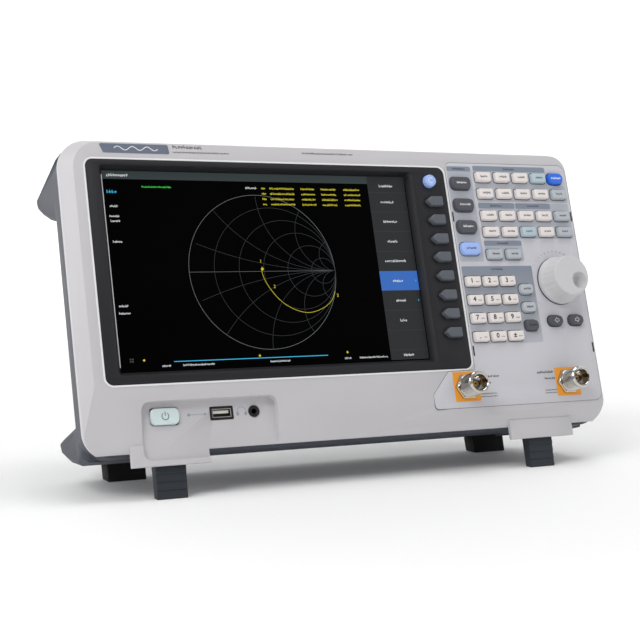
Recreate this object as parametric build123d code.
from build123d import *
import math
import os

# Bench vector network analyser, standing on its flip-out front legs.
# It is drawn upright: X across, Y back from the front face (depth), Z up from the case bottom.
# One placement then leans it back, and stands it on the floor. All sizes are millimetres.

# ---- driving dimensions ----
case_width = 393.0
case_height = 207.0
bezel_depth = 8.5         # edge of the light front moulding, where the rear cover starts
seat_reach = 12.0         # how far the moulding's inner seats may reach back
corner_radius = 14.0      # outer corners at the top right
top_left_radius = 20.0
bottom_radius = 17.0
body_depth = 98.5         # front face to the back of the rear cover
wall = 3.0                # moulded walls and the front panel
lean_angle = 16.43        # how far the case leans back on its legs
floor_drop = 28.97        # floor below the front bottom edge, once leaned
gap = 0.3                 # clearance round a part that moves
running = 0.05            # radial clearance of a pin in its bore

side_fold = 8.5           # width of the folded facet down the left of the bezel
fold_depth = 5.5
band_top = 44.0           # the lower band slopes back below this height
band_slope = 7.5 / 44.0
lip_top = 17.0            # the bottom lip turns under below this height
lip_slope = 10.0 / 17.0
crease_start = (2.0, 44.0)
crease_end = (52.0, 23.0)

screen_box = (-180.1, 86.4, 45.1, 192.7)      # dark surround: left, right, bottom, top
window_box = (-168.2, 57.0, 53.6, 187.4)      # window at the glass
window_bevel = 3.0
glass_depth = 6.0
glass_thick = 1.2
ledge = 2.0               # width of the step that an insert rests on

keypad_outline = [(88.8, 197.0), (194.5, 197.0), (194.5, 17.3), (52.3, 17.3), (52.3, 27.6), (66.6, 43.4), (88.8, 43.4)]
keypad_corners = [5.0, 7.0, 6.0, 3.0, 2.0, 2.0, 1.5]

key_rise = 3.3            # key cap above the panel
key_travel = 1.2
key_flange = 0.8          # retaining flange beyond the cap, above and below
flange_thick = 1.0
plunger_radius = 1.8      # the stem behind a cap that presses the rubber mat
plunger_rise = 0.6
mat_play = 0.1            # air between a fully pressed key and the mat
mat_thick = 1.5
board_thick = 1.6
grid_columns = [119.3, 135.6, 151.8, 168.0, 184.1]
grid_rows = [186.2, 173.7, 156.8, 144.6]
measure_height = 127.6
grid_key = (12.8, 7.5)
preset_place = (183.2, 186.0)
preset_size = (13.6, 8.6)
control_column = 99.3
control_rows = [181.1, 164.6, 148.2, 131.8]
control_size = (16.4, 9.5)
number_columns = [97.2, 112.0, 126.8]
number_rows = [107.6, 94.0, 80.6, 67.0]
number_key = (12.4, 7.4)
edit_column = 141.6
edit_rows = [101.1, 87.6, 74.1]
edit_size = (11.4, 7.8)
arrow_places = {"arrow_left": (163.1, 77.0), "arrow_right": (181.3, 77.0)}
arrow_size = (12.4, 7.8)
soft_column = 74.6
soft_rows = [167.1, 153.5, 139.4, 125.9, 112.1, 98.2, 84.6, 70.9]
soft_size = (14.2, 7.6)
soft_point = 4.6          # length of the arrow end of a soft key
round_key_place = (73.4, 182.2)
round_key_radius = 4.8

knob_place = (171.7, 107.0)
knob_rise = 18.0
knob_base_radius = 17.7
knob_front_radius = 14.9
shaft_radius = 3.0
shaft_front = -13.0       # depth of the encoder shaft's front end
knob_dimple = (6.6, 3.2)  # finger dimple: radius, sink
dimple_place = (6.4, -3.7)

port_places = [(79.8, 32.0), (166.0, 32.0)]
port_radius = 7.94        # 5/8-24 thread of a type N socket
port_rise = 18.0
port_hexagon = (9.6, 2.6)  # flange: radius at its corners, thickness
port_lip = (6.9, 1.2)     # front ring: radius, length
port_mouth = (5.6, 9.0)   # radius, depth
port_seat = 4.2           # radius of the insulator
port_pin = 1.5            # radius of the centre contact
port_tail = 20.0          # depth of the rear body's end

recess_box = (-158.5, -65.1, 9.0, 34.2)
recess_floor = 8.0
power_place = (-141.8, 24.9)
power_size = (19.7, 11.0)
usb_box = (-109.3, -96.2, 22.2, 27.9)
phones_place = (-80.1, 25.0)

leg_centre = 140.5
leg_width = 20.5
leg_pivot = (12.5, -0.8)  # depth, height
leg_eye = 4.2
leg_pin = 1.5
skirt_half = 26.5         # the light lip in front of each leg
skirt_bottom = -6.4
skirt_depths = (5.0, 8.2)
cheek_half = 15.5         # the two cheeks that hold a leg's pin
cheek_bottom = -4.0
cheek_back = 17.5
bay_roof = 4.2            # the room that a leg folds into
bay_back = 45.0
bumper_reach = 191.2      # half width over the corner bumpers
foot_centre = 145.0
foot_width = 27.0

handle_half = 70.0
handle_pivot = (86.0, 187.0)
handle_pin = 2.5
pocket = (72.0, 44.0, 94.0, 176.0)            # half width, front, back, floor height

io_box = (-122.0, 122.0, 28.0, 80.0)          # recessed connector panel at the back
io_depth = 84.0
fan_place = (-118.0, 132.0)
fan_size = 60.0
inlet_place = (-95.0, 54.0)
lan_place = (-48.0, 50.0)
usb_b_place = (-14.0, 50.0)
bnc_places = [(24.0, 50.0), (56.0, 50.0), (88.0, 50.0)]
bnc_radius = 4.8
bnc_rise = 12.0
bnc_mouth = 4.05
bnc_pin = 1.1

# ---- shared geometry helpers ----
lean = math.radians(lean_angle)


def floor_height(depth):
    """Height of the floor, in the upright frame, under a point at this depth."""
    return (-floor_drop + depth * math.sin(lean)) / math.cos(lean)


def facing(depth):
    """A sheet at this depth, looked at from the front."""
    return Plane.XZ.offset(-depth)


def slab(sketch, front, back):
    return extrude(facing(front) * sketch, amount=front - back)


def disc(place, radius, front, back):
    return slab(Pos(*place) * Circle(radius), front, back)


def ring(place, outer, inner, front, back):
    return slab(Pos(*place) * (Circle(outer) - Circle(inner)), front, back)


def block(left, right, low, high, front, back):
    size = Box(right - left, back - front, high - low)
    return Pos((left + right) / 2, (front + back) / 2, (low + high) / 2) * size


def profile(points, left, right):
    """A prism along X, from points of (depth, height)."""
    outline = make_face(Polyline(*points, close=True))
    return extrude(Plane.YZ.offset(left) * outline, amount=right - left)


def rod(depth, height, radius, left, right):
    """A cylinder along X."""
    return extrude(Plane.YZ.offset(left) * Pos(depth, height) * Circle(radius), amount=right - left)


def rounded(left, right, low, high, radius):
    return Pos((left + right) / 2, (low + high) / 2) * RectangleRounded(right - left, high - low, radius)


def corner_polygon(points, radii):
    """A polygon whose corners each have their own radius."""
    face = make_face(Polyline(*points, close=True))
    for (across, up), radius in zip(points, radii):
        corner = face.vertices().sort_by_distance((across, up, 0))[0]
        face = fillet(corner, radius)
    return face


def mirrored(shape):
    return mirror(shape, Plane.YZ)


def joined(solids):
    """Separate solids kept as one group."""
    return Compound([solid for item in solids for solid in item.solids()])


# ---- front moulding ----
def case_outline(left_in, right_in, top_in, bottom_in, easing):
    left, right = -case_width / 2 + left_in, case_width / 2 - right_in
    low, high = bottom_in, case_height - top_in
    points = [(left, low), (right, low), (right, high), (left, high)]
    radii = [bottom_radius, bottom_radius, corner_radius, top_left_radius]
    return corner_polygon(points, [radius - easing for radius in radii])


def bezel_form(shrink, back):
    """The front moulding's outer form, taken in by the wall when it is hollowed."""
    full = case_outline(shrink, shrink, shrink, shrink, 0)
    front = case_outline(shrink + side_fold, shrink + 1.2, shrink + 2.5, shrink + 0.5, 2.0)
    form = loft([facing(shrink) * front, facing(shrink + fold_depth) * full], ruled=True)
    form += slab(full, shrink + fold_depth, back)
    ahead, below, reach = -5.0, -20.0, 220.0
    band = profile([(ahead, band_top), (0, band_top), (band_slope * (band_top - below), below), (ahead, below)],
                   -reach, reach)
    run = (crease_end[0] - crease_start[0], crease_end[1] - crease_start[1])
    length = math.hypot(*run)
    away = (run[1] / length, -run[0] / length)
    across = Plane(origin=(crease_start[0], 0, crease_start[1]), x_dir=(away[0], 0, away[1]),
                   z_dir=(run[0] / length, 0, run[1] / length))
    side = 1 if across.y_dir.Y > 0 else -1
    wedge = make_face(Polyline((0, ahead * side), (0, 0), (300, 300 * band_slope * side), (300, ahead * side),
                               close=True))
    diagonal = extrude(across * wedge, amount=300, both=True)
    lip = profile([(ahead, lip_top), (0, lip_top), (lip_slope * (lip_top - below), below), (ahead, below)],
                  -reach, reach)
    return form - Pos(0, shrink, 0) * (band & diagonal) - Pos(0, shrink, 0) * lip


def keypad_sketch(grow):
    face = corner_polygon(keypad_outline, keypad_corners)
    return offset(face, grow) if grow else face


def screen_sketch(grow):
    left, right, low, high = screen_box
    return rounded(left - grow, right + grow, low - grow, high + grow, 5.0 + grow)


def leg_block(half, bottom, roof, front, back):
    """A block round both leg centres, between two depths."""
    housing = block(leg_centre - half, leg_centre + half, bottom, roof, front, back)
    return housing + mirrored(housing)


def leg_bay(front, back, roof):
    """The room that a leg folds into."""
    return leg_block(leg_width / 2 + gap, skirt_bottom - 1, roof, front, back)


def barrel(width, height, bulge=1.1, corner=2.2):
    """A key outline with bowed ends."""
    half, tall = width / 2 - bulge, height / 2
    ends = [ThreePointArc((half, -tall), (half + bulge, 0), (half, tall)),
            ThreePointArc((-half, tall), (-half - bulge, 0), (-half, -tall))]
    sides = [Line((-half, -tall), (half, -tall)), Line((half, tall), (-half, tall))]
    face = make_face(Curve() + [sides[0], ends[0], sides[1], ends[1]])
    return fillet(face.vertices(), corner)


def make_front_bezel():
    form = bezel_form(0, bezel_depth)
    shell = form - bezel_form(wall, bezel_depth + 1)
    left, right, low, high = recess_box
    seats = slab(keypad_sketch(gap + 2.2), 2.0, 6.0) + slab(screen_sketch(gap + 2.2), 2.0, 6.0)
    seats += block(left - wall, right + wall, low - 4, high + wall, 2.0, recess_floor + wall)
    shell += seats & bezel_form(0, seat_reach)
    lip_front, lip_back = skirt_depths
    shell += leg_block(skirt_half, skirt_bottom, bay_roof + wall, lip_front, lip_back)
    shell += leg_block(cheek_half, cheek_bottom, bay_roof + wall, lip_front, cheek_back)
    shell -= leg_bay(lip_back, bay_back, bay_roof)
    for side in (-1, 1):
        reach = 15.0
        shell -= rod(*leg_pivot, leg_pin, side * leg_centre - reach, side * leg_centre + reach)
    for sketch in (keypad_sketch, screen_sketch):
        shell -= slab(sketch(gap), -1, wall)
    shell -= slab(keypad_sketch(-ledge), -1, 9)
    shell -= slab(screen_sketch(-ledge), -1, 9)
    shell -= slab(rounded(left, right, low - 12, high, 6.0), -1, recess_floor)
    shell -= slab(Pos(*power_place) * barrel(power_size[0] + 2 * gap, power_size[1] + 2 * gap), 0, 20)
    left, right, low, high = usb_box
    shell -= block(left, right, low, high, 0, 20)
    return shell - disc(phones_place, 3.9, 0, 20)


# ---- keys: (node, place, outline) ----
def rectangle_key(size):
    return RectangleRounded(size[0], size[1], 1.3)


def soft_outline():
    """A soft key: a five-sided outline that points at the screen."""
    half, tall = soft_size[0] / 2, soft_size[1] / 2
    points = [(-half, 0), (-half + soft_point, -tall), (half, -tall), (half, tall), (-half + soft_point, tall)]
    return corner_polygon(points, [1.3, 1.3, 1.3, 1.3, 1.3])


def key_groups():
    """Every key node, with the place and outline of each cap in it."""
    groups = {}
    for number, height in enumerate(soft_rows, 1):
        groups[f"soft_key_{number}"] = [((soft_column, height), soft_outline(), soft_size)]
    size = (2 * round_key_radius, 2 * round_key_radius)
    groups["menu_back_key"] = [(round_key_place, Circle(round_key_radius), size)]
    for number, height in enumerate(control_rows, 1):
        groups[f"control_key_{number}"] = [((control_column, height), barrel(*control_size), control_size)]
    groups["preset_key"] = [(preset_place, barrel(*preset_size, 1.6, 2.4), preset_size)]
    for name, place in arrow_places.items():
        groups[name] = [(place, barrel(*arrow_size, 1.4, 2.2), arrow_size)]
    for number, height in enumerate(grid_rows, 1):
        columns = grid_columns[:4] if number == 1 else grid_columns
        groups[f"function_row_{number}"] = [((across, height), rectangle_key(grid_key), grid_key)
                                            for across in columns]
    groups["measure_row"] = [((across, measure_height), rectangle_key(grid_key), grid_key)
                             for across in grid_columns[:2]]
    for number, height in enumerate(number_rows, 1):
        groups[f"number_row_{number}"] = [((across, height), rectangle_key(number_key), number_key)
                                          for across in number_columns]
    groups["edit_keys"] = [((edit_column, height), barrel(*edit_size, 0.9, 1.8), edit_size)
                           for height in edit_rows]
    return groups


def key_cap(place, outline, size):
    """A cap with drafted sides and an eased edge, its skirt, retaining flange and plunger."""
    draft, ease, ease_rise = 0.42, 0.46, 0.6
    seat = Pos(*place) * outline
    shoulder = Pos(*place) * offset(outline, -draft)
    crown = Pos(*place) * offset(outline, -draft - ease)
    back = wall + gap
    cap = slab(seat, 0, back)
    cap += loft([facing(0) * seat, facing(ease_rise - key_rise) * shoulder], ruled=True)
    cap += loft([facing(ease_rise - key_rise) * shoulder, facing(-key_rise) * crown], ruled=True)
    width, height = size[0] - 0.4, size[1] + 2 * key_flange
    cap += slab(Pos(*place) * Rectangle(width, height), back, back + flange_thick)
    return cap + disc(place, plunger_radius, back + flange_thick, back + flange_thick + plunger_rise)


def mat_front():
    """Depth of the mat's face, just behind the plunger of a fully pressed key."""
    return wall + gap + flange_thick + plunger_rise + key_travel + mat_play


def key_holes(groups, names):
    """Holes for the caps of these nodes, with clearance all round."""
    holes = None
    for name in names:
        for place, outline, _ in groups[name]:
            hole = slab(Pos(*place) * offset(outline, gap), -1, wall + 1)
            holes = hole if holes is None else holes + hole
    return holes


def make_keypad_panel(groups):
    panel = slab(keypad_sketch(0), 0, wall)
    names = [name for name in groups if not name.startswith(("soft", "menu"))]
    panel -= key_holes(groups, names)
    panel -= disc(knob_place, 4.7, -1, wall + 1)
    for place in port_places:
        panel -= disc(place, port_radius, -1, wall + 1)
    return panel


def make_display_surround(groups):
    panel = slab(screen_sketch(0), 0, wall)
    left, right, low, high = window_box
    panel += slab(rounded(left - 5.8, right + 5.6, low - 5.6, high + 3.0, 1.0), wall, glass_depth)
    mouth = window_bevel
    opening = loft([facing(glass_depth) * rounded(left, right, low, high, 1.0),
                    facing(0) * rounded(left - mouth, right + mouth, low - mouth, high + 2.0, 2.5)], ruled=True)
    panel -= opening
    return panel - key_holes(groups, [name for name in groups if name.startswith(("soft", "menu"))])


def make_display_glass():
    left, right, low, high = window_box
    return block(left - 4.5, right + 4.5, low - 4.5, high + 2.0, glass_depth, glass_depth + glass_thick)


def make_display_module():
    """The liquid crystal panel, its backlight tray and the driver board on its back."""
    left, right, low, high = window_box
    front = glass_depth + glass_thick
    module = block(left - 4.5, right + 4.5, low - 4.5, high + 3.5, front, front + 5.8)
    return module + block(left + 30, left + 150, low + 20, low + 70, front + 5.8, front + 10)


def make_key_mat():
    """One moulded rubber sheet with a dome behind every key."""
    front = mat_front()
    mat = block(66.0, 192.0, 61.5, 191.5, front, front + mat_thick)
    across, up = knob_place
    return mat - block(across - 7.5, across + 7.5, up - 7.5, up + 7.5, front - 1, front + mat_thick + 1)


def make_keypad_board():
    front = mat_front() + mat_thick
    back = front + board_thick
    board = block(66.0, 192.0, 58.0, 192.0, front, back)
    board += block(100.0, 140.0, 112.0, 118.0, back, back + 2.7)
    return board + block(150.0, 160.0, 130.0, 140.0, back, back + 1.7)


def make_rotary_encoder():
    across, up = knob_place
    body = block(across - 6.5, across + 6.5, up - 6.5, up + 6.5, wall + 0.4, mat_front() + mat_thick)
    body += disc(knob_place, 4.4, -1.5, wall + 0.4)
    return body - disc(knob_place, shaft_radius + running, -2, wall + 0.2)


def make_encoder_shaft():
    return disc(knob_place, shaft_radius, shaft_front, wall)


def make_tuning_knob():
    """A drafted knob with flat grip facets, an edge round and a finger dimple."""
    foot = 0.8
    facets = 24
    base = facing(-foot) * Pos(*knob_place) * RegularPolygon(knob_base_radius, facets)
    shoulder = facing(-foot - 4.0) * Pos(*knob_place) * RegularPolygon(knob_base_radius - 0.5, facets)
    front = facing(-knob_rise) * Pos(*knob_place) * RegularPolygon(knob_front_radius, facets)
    knob = loft([base, shoulder], ruled=True) + loft([shoulder, front], ruled=True)
    top = knob.faces().sort_by(Axis.Y)[0]
    knob = chamfer(top.edges(), 0.9)
    dimple_radius, dimple_sink = knob_dimple
    sphere = (dimple_radius ** 2 + dimple_sink ** 2) / (2 * dimple_sink)
    across, up = knob_place[0] + dimple_place[0], knob_place[1] + dimple_place[1]
    knob -= Pos(across, -knob_rise - sphere + dimple_sink, up) * Sphere(sphere)
    knob -= disc(knob_place, 5.4, -2.3, 0)
    return knob - disc(knob_place, shaft_radius, shaft_front, 0)


# ---- radio ports ----
def make_port_connectors():
    """Two type N sockets: hexagon flange, threaded barrel, bright front ring, rear body and nut."""
    parts = []
    hexagon, hexagon_thick = port_hexagon
    lip, lip_length = port_lip
    mouth, mouth_depth = port_mouth
    for place in port_places:
        body = slab(Pos(*place) * RegularPolygon(hexagon, 6), -hexagon_thick, 0)
        body += disc(place, port_radius, -port_rise + lip_length, port_tail)
        body += disc(place, lip, -port_rise, -port_rise + lip_length)
        body += disc(place, 9.0, wall, wall + 3.0)
        body -= disc(place, mouth, -port_rise - 1, -port_rise + mouth_depth)
        body -= disc(place, port_seat, -port_rise, -3.0)
        parts.append(body - disc(place, port_pin, -4, port_tail + 1))
    return joined(parts)


def make_port_insulators():
    return joined([ring(place, port_seat, port_pin, -6.0, -3.0) for place in port_places])


def make_port_contacts():
    """Gilded centre contacts: a slotted socket in front, a solder pin behind."""
    parts = []
    for place in port_places:
        pin = disc(place, port_pin, -11.4, port_tail + 2.5)
        parts.append(pin - disc(place, 0.85, -12, -7))
    return joined(parts)


# ---- front left connectors ----
def make_power_button():
    outline = Pos(*power_place) * barrel(*power_size)
    front, pan_back = recess_floor - 2.2, recess_floor + wall
    cap = slab(outline, front, pan_back + gap)
    cap = fillet(cap.faces().sort_by(Axis.Y)[0].edges(), 0.7)
    flange = Pos(*power_place) * barrel(power_size[0] + 2, power_size[1] + 2)
    return cap + slab(flange, pan_back + gap, pan_back + gap + 1.0)


def make_usb_socket():
    left, right, low, high = usb_box
    shell = block(left, right, low, high, 8.6, 22.0) - block(left + 0.4, right - 0.4, low + 0.4, high - 0.4, 8, 21.5)
    return shell + block(left + 0.9, right - 0.9, (low + high) / 2 + 0.1, (low + high) / 2 + 1.9, 9.6, 21.6)


def make_phones_jack():
    body = block(phones_place[0] - 5, phones_place[0] + 5, phones_place[1] - 5, phones_place[1] + 5, 11.2, 25.0)
    body += disc(phones_place, 3.9, 7.6, 11.2)
    return body - disc(phones_place, 1.8, 7, 22.0)


def make_front_io_board():
    front = 14.5
    board = block(-156.0, -68.0, 10.0, 19.6, front, front + board_thick)
    board += block(-152.0, -128.0, 19.6, 32.0, front, front + board_thick)
    return board + block(-145.0, -139.0, 21.8, 27.8, front - 0.8, front)


# ---- legs, feet and pins ----
def make_leg(side):
    """A folding leg: round pivot eye, blade with grip grooves, foot cut to the floor."""
    depth, height = leg_pivot
    toe_front, toe_back = 11.2, 17.0
    left, right = side * leg_centre - leg_width / 2, side * leg_centre + leg_width / 2
    blade = profile([(8.6, 0.2), (toe_front, floor_height(toe_front)), (toe_back, floor_height(toe_back)),
                     (16.5, 0.2)], left, right)
    leg = rod(depth, height, leg_eye, left, right) + blade
    top_corners = block(left - 1, right + 1, height, 6, 0, 25)
    leg -= top_corners - rod(depth, height, leg_eye, left - 2, right + 2)
    groove, pitch = 0.7, 3.4
    for index in range(5):
        up = -8.4 - pitch * index
        front = 8.6 + (0.2 - up) * (toe_front - 8.6) / (0.2 - floor_height(toe_front))
        leg -= block(left + 2.2, right - 2.2, up - 0.7, up + 0.7, front - 1, front + groove)
    return leg - rod(depth, height, leg_pin + running, left - 1, right + 1)


def make_pivot_pins():
    pins = [rod(*leg_pivot, leg_pin, side * leg_centre - 15.0, side * leg_centre + 15.0) for side in (-1, 1)]
    for side in (-1, 1):
        start, end = sorted((side * (handle_half - 9.5), side * (pocket[0] + 3.0)))
        pins.append(rod(*handle_pivot, handle_pin, start, end))
    return joined(pins)


def cover_section(side_in, bottom, top, radius):
    left = -case_width / 2 + side_in
    return rounded(left, -left, bottom, top, radius)


def cover_form(inset, front):
    """The rear cover's outer form, or its hollow when inset by the wall."""
    stations = [(front, 1.5, 1.0, 205.5, 18.0), (34.0, 4.5, 1.5, 203.4, 14.0),
                (50.0, 18.0, 5.0, 200.6, 12.0), (body_depth, 24.0, 9.0, 192.0, 10.0)]
    form = None
    for near, far in zip(stations, stations[1:]):
        sections = []
        for depth, side_in, bottom, top, radius in (near, far):
            back = depth - inset if depth == body_depth else depth
            sections.append(facing(back) * cover_section(side_in + inset, bottom + inset, top - inset, radius - inset))
        piece = loft(sections, ruled=True)
        form = piece if form is None else form + piece
    return form


def corner_bumpers():
    top = profile([(24, 204.6), (80, 192.6), (82.5, 189.5), (81, 183), (76, 179), (59, 170), (41, 163), (24, 158)],
                  150.0, bumper_reach)
    bottom = profile([(24, 30), (44, 27), (76, 24), (78.5, 20), (75, 13), (62, 7), (39, 1.2), (24, 1.2)],
                     150.0, bumper_reach)
    pair = []
    for bumper in (top, bottom):
        outer = bumper.faces().sort_by(Axis.X)[-1]
        pair.append(chamfer(outer.edges(), 3.0))
    bumpers = pair[0] + pair[1]
    return bumpers + mirrored(bumpers)


def make_rear_cover():
    form = cover_form(0, bezel_depth)
    half, near, far, floor = pocket
    left, right, low, high = io_box
    cover = form + corner_bumpers() - cover_form(wall, bezel_depth)
    cover += block(-half - wall, half + wall, floor - wall, 206, near - wall, far + wall) & form
    cover += block(left - wall, right + wall, low - wall, high + wall, io_depth - 2, body_depth - 0.5) & form
    cover += leg_block(leg_width / 2 + gap + wall, 1.4, bay_roof + wall, cheek_back + gap, bay_back)
    cover -= leg_block(cheek_half + 0.1, skirt_bottom, bay_roof + wall + 0.1, bezel_depth - 1, cheek_back + gap)
    cover -= leg_bay(bezel_depth - 1, bay_back - 1, bay_roof)
    cover -= block(-half, half, floor, 215, near, far)
    cover -= block(left, right, low, high, io_depth, body_depth + 1)
    cover -= block(left + 4, right - 4, low + 4, high - 4, io_depth - 3, body_depth + 1)
    for side in (-1, 1):
        start, end = sorted((side * (half - 1), side * (half + wall)))
        cover -= rod(*handle_pivot, handle_pin, start, end)
    for index in range(9):
        depth = 57.0 + 4.2 * index
        slot = block(150.0, 200.0, 60.0, 132.0, depth, depth + 2.2)
        cover -= slot + mirrored(slot)
    for index in range(11):
        up = fan_place[1] - 25.0 + 5.0 * index
        reach = math.sqrt(27.5 ** 2 - (up - fan_place[1]) ** 2)
        cover -= block(fan_place[0] - reach, fan_place[0] + reach, up - 1.3, up + 1.3, 92.0, body_depth + 1)
    for place in screw_places():
        cover -= disc(place, 4.2, body_depth - 2.0, body_depth + 1)
        cover -= disc(place, 1.6, body_depth - wall - 1, body_depth + 1)
    return cover


def screw_places():
    return [(across, up) for across in (-158.0, 158.0) for up in (20.0, 96.0)] + [(-60.0, 96.0), (60.0, 96.0)]


def make_cover_screws():
    screws = []
    for place in screw_places():
        screw = disc(place, 3.4, body_depth - 2.0, body_depth - 0.2)
        screw += disc(place, 1.5, body_depth - 12.0, body_depth - 2.0)
        screws.append(screw - slab(Pos(*place) * RegularPolygon(1.5, 6), body_depth - 1.5, body_depth))
    return joined(screws)


def make_rear_feet():
    """Two rubber blocks whose soles lie on the floor while the case leans back."""
    near, far = 83.0, 96.0
    left, right = foot_centre - foot_width / 2, foot_centre + foot_width / 2
    foot = profile([(near - 0.6, 12), (near, floor_height(near)), (far, floor_height(far)), (far + 0.6, 12)],
                   left, right)
    foot -= cover_form(0, bezel_depth)
    return joined([foot, mirrored(foot)])


# ---- inside ----
def make_inner_chassis():
    """A folded steel tray that carries the boards."""
    front, plate = 27.0, 1.2
    tray = block(-168.0, 168.0, 12.0, 170.0, front, front + plate)
    tray += block(-168.0, 168.0, 12.0, 12.0 + plate, front, 66.0)
    tray += block(-168.0, 168.0, 170.0 - plate, 170.0, front, 41.0)
    for place in port_places:
        tray -= disc(place, 6.0, front - 1, front + 3)
    for place in board_posts():
        tray += disc(place, 3.0, front + plate, 33.0)
    return tray


def board_posts():
    return [(across, up) for across in (-54.0, 158.0) for up in (68.0, 158.0)]


def make_main_board():
    board = block(-60.0, 165.0, 62.0, 164.0, 33.0, 34.6)
    board += block(-50.0, -15.0, 100.0, 135.0, 34.6, 44.0)
    board += block(-50.0, -20.0, 70.0, 90.0, 34.6, 38.0)
    return board + block(-8.0, 4.0, 70.0, 150.0, 34.6, 40.0)


def make_rf_shield():
    """A screened box with a lid seam and one cell wall."""
    outer = block(12.0, 160.0, 68.0, 158.0, 34.6, 50.0)
    hollow = block(14.0, 85.0, 70.0, 156.0, 36.0, 48.5) + block(87.0, 158.0, 70.0, 156.0, 36.0, 48.5)
    return outer - hollow


def make_power_supply():
    """A screened supply: steel can with a hollow for its board, and cooling slots."""
    can = block(-160.0, -72.0, 22.0, 94.0, 28.2, 62.0)
    can -= block(-158.8, -73.2, 23.2, 92.8, 29.4, 60.8)
    for index in range(7):
        start = -150.0 + 10.5 * index
        can -= block(start, start + 4.0, 92.0, 95.0, 34.0, 56.0)
    return can + block(-150.0, -84.0, 23.2, 26.0, 32.0, 58.0)


def make_fan_frame():
    """A 60 mm axial fan's square frame with its motor cup and four struts."""
    half = fan_size / 2
    across, up = fan_place
    back = body_depth - wall
    frame = block(across - half, across + half, up - half, up + half, back - 15.0, back)
    frame -= disc(fan_place, half - 2.0, back - 16.0, back + 1)
    cup = disc(fan_place, 12.0, back - 2.4, back)
    cup += block(across - half + 1, across + half - 1, up - 1.5, up + 1.5, back - 2.0, back)
    cup += block(across - 1.5, across + 1.5, up - half + 1, up + half - 1, back - 2.0, back)
    frame += cup
    return frame - disc(fan_place, 1.5 + running, back - 3.0, back - 0.6)


def make_fan_rotor():
    """Hub, shaft and seven pitched blades."""
    back = body_depth - wall
    hub = disc(fan_place, 11.5, back - 14.0, back - 3.0) + disc(fan_place, 1.5, back - 3.0, back - 0.8)
    blade = Box(16.5, 1.2, 10.0)
    for index in range(7):
        turn = Plane(origin=(fan_place[0], back - 8.5, fan_place[1]), z_dir=(0, -1, 0), x_dir=(1, 0, 0))
        place = turn.location * Rot(0, 0, 360.0 * index / 7) * Pos(18.6, 0, 0) * Rot(40, 0, 0) * Rot(90, 0, 0)
        hub += place * blade
    return hub


def make_rear_io_panel():
    """The bare metal connector plate, seated in the rear cover's recess."""
    left, right, low, high = io_box
    plate = block(left, right, low, high, io_depth, io_depth + 1.5)
    across, up = inlet_place
    plate -= block(across - 13.9, across + 13.9, up - 10.1, up + 10.1, io_depth - 1, io_depth + 2)
    across, up = lan_place
    plate -= block(across - 8.0, across + 8.0, up - 7.0, up + 7.0, io_depth - 1, io_depth + 2)
    across, up = usb_b_place
    plate -= block(across - 6.1, across + 6.1, up - 5.6, up + 5.6, io_depth - 1, io_depth + 2)
    for place in bnc_places:
        plate -= disc(place, bnc_radius, io_depth - 1, io_depth + 2)
    return plate


def make_mains_inlet():
    """An appliance inlet with a flange, an open cavity and three blades."""
    across, up = inlet_place
    body = block(across - 13.8, across + 13.8, up - 10.0, up + 10.0, io_depth - 16.0, io_depth + 1.5)
    body += block(across - 16.5, across + 16.5, up - 12.0, up + 12.0, io_depth + 1.5, io_depth + 3.5)
    body -= block(across - 12.0, across + 12.0, up - 8.0, up + 8.0, io_depth - 12.5, io_depth + 4)
    for shift, rise in ((-7.0, 1.0), (0.0, 4.4), (7.0, 1.0)):
        body += block(across + shift - 1.0, across + shift + 1.0, up + rise - 2.0, up + rise + 2.0,
                      io_depth - 12.5, io_depth + 1.0)
    return body


def make_data_sockets():
    """A network socket and a square device socket, screened in metal."""
    across, up = lan_place
    lan = block(across - 7.9, across + 7.9, up - 6.9, up + 6.9, io_depth - 14.0, io_depth + 2.2)
    lan -= block(across - 5.9, across + 5.9, up - 4.0, up + 3.6, io_depth - 11.0, io_depth + 3)
    lan -= block(across - 3.0, across + 3.0, up - 5.8, up - 3.9, io_depth - 11.0, io_depth + 3)
    across, up = usb_b_place
    square = block(across - 6.0, across + 6.0, up - 5.5, up + 5.5, io_depth - 14.0, io_depth + 2.2)
    square -= block(across - 4.3, across + 4.3, up - 3.9, up + 3.9, io_depth - 9.0, io_depth + 3)
    square += block(across - 2.8, across + 2.8, up - 1.5, up + 1.5, io_depth - 9.5, io_depth + 1.2)
    return joined([lan, square])


def make_bnc_sockets():
    """Three coaxial sockets with their nuts and centre contacts."""
    sockets = []
    for place in bnc_places:
        front = io_depth + 1.5
        socket = disc(place, bnc_radius, io_depth - 12.0, front + bnc_rise)
        socket += slab(Pos(*place) * RegularPolygon(7.4, 6), front, front + 2.4)
        socket += disc(place, 7.0, io_depth - 3.0, io_depth)
        socket -= disc(place, bnc_mouth, front + 3.0, front + bnc_rise + 1)
        sockets.append(socket + disc(place, bnc_pin, front + 2.9, front + 5.6))
    return joined(sockets)


def make_carry_handle():
    """A bail that lies in the top pocket: two arms with pivot eyes, and a rounded grip."""
    depth, height = handle_pivot
    grip_front, grip_back, grip_low, grip_high = 46.0, 60.0, 187.5, 199.2
    grip = profile([(grip_front, grip_low), (grip_back, grip_low), (grip_back, 197.2), (grip_front, grip_high)],
                   -handle_half, handle_half)
    grip = fillet(grip.edges().filter_by(Axis.X), 3.0)
    handle = grip
    for side in (-1, 1):
        left, right = sorted((side * (handle_half - 8.0), side * handle_half))
        arm = profile([(52.0, 188.0), (depth, height - 4.6), (depth, height + 4.6), (52.0, 197.0)], left, right)
        arm += rod(depth, height, 4.6, left, right)
        handle += arm
        handle -= rod(depth, height, handle_pin + running, left - 1, right + 1)
    return handle


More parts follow.
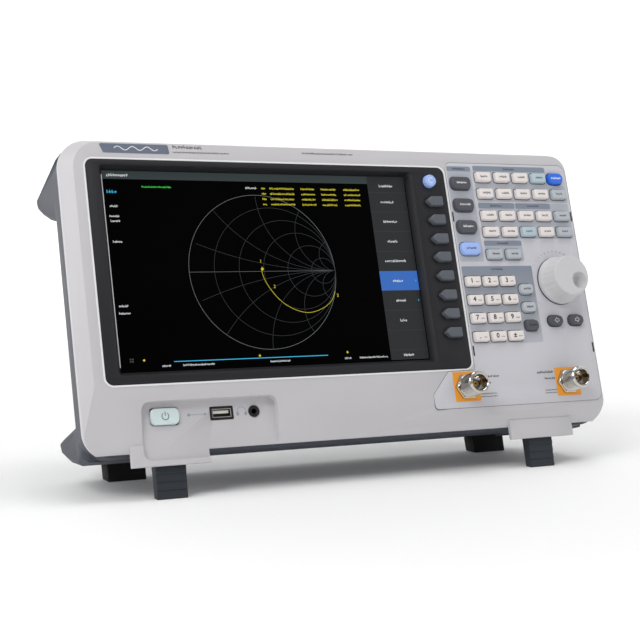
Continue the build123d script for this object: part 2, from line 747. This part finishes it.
def make_nodes():
    groups = key_groups()
    nodes = {
        "front_bezel": make_front_bezel(),
        "keypad_panel": make_keypad_panel(groups),
        "display_surround": make_display_surround(groups),
        "display_glass": make_display_glass(),
        "display_module": make_display_module(),
        "key_mat": make_key_mat(),
        "keypad_board": make_keypad_board(),
        "rotary_encoder": make_rotary_encoder(),
        "encoder_shaft": make_encoder_shaft(),
        "tuning_knob": make_tuning_knob(),
        "port_connectors": make_port_connectors(),
        "port_insulators": make_port_insulators(),
        "port_contacts": make_port_contacts(),
        "power_button": make_power_button(),
        "usb_socket": make_usb_socket(),
        "phones_jack": make_phones_jack(),
        "front_io_board": make_front_io_board(),
        "leg_left": make_leg(-1),
        "leg_right": make_leg(1),
        "pivot_pins": make_pivot_pins(),
        "rear_cover": make_rear_cover(),
        "cover_screws": make_cover_screws(),
        "rear_feet": make_rear_feet(),
        "inner_chassis": make_inner_chassis(),
        "main_board": make_main_board(),
        "rf_shield": make_rf_shield(),
        "power_supply": make_power_supply(),
        "fan_frame": make_fan_frame(),
        "fan_rotor": make_fan_rotor(),
        "rear_io_panel": make_rear_io_panel(),
        "mains_inlet": make_mains_inlet(),
        "data_sockets": make_data_sockets(),
        "bnc_sockets": make_bnc_sockets(),
        "carry_handle": make_carry_handle(),
    }
    for name, caps in groups.items():
        nodes[name] = joined([key_cap(*cap) for cap in caps])
    return nodes


def standing_place(nodes):
    """Lean the case back, then put the middle of its footprint's box on the origin."""
    leaned = Location((0, 0, 0), (-lean_angle, 0, 0))
    boxes = [(leaned * shape).bounding_box() for shape in nodes.values()]
    low = [min(getattr(box.min, axis) for box in boxes) for axis in "XYZ"]
    high = [max(getattr(box.max, axis) for box in boxes) for axis in "XYZ"]
    return Location((-(low[0] + high[0]) / 2, -(low[1] + high[1]) / 2, -low[2])) * leaned


os.makedirs("parts", exist_ok=True)
nodes = make_nodes()
standing = standing_place(nodes)
for name, shape in nodes.items():
    export_step(standing * shape, f"parts/{name}.step")
print(len(nodes), "nodes; shift", [round(value, 3) for value in standing.position])
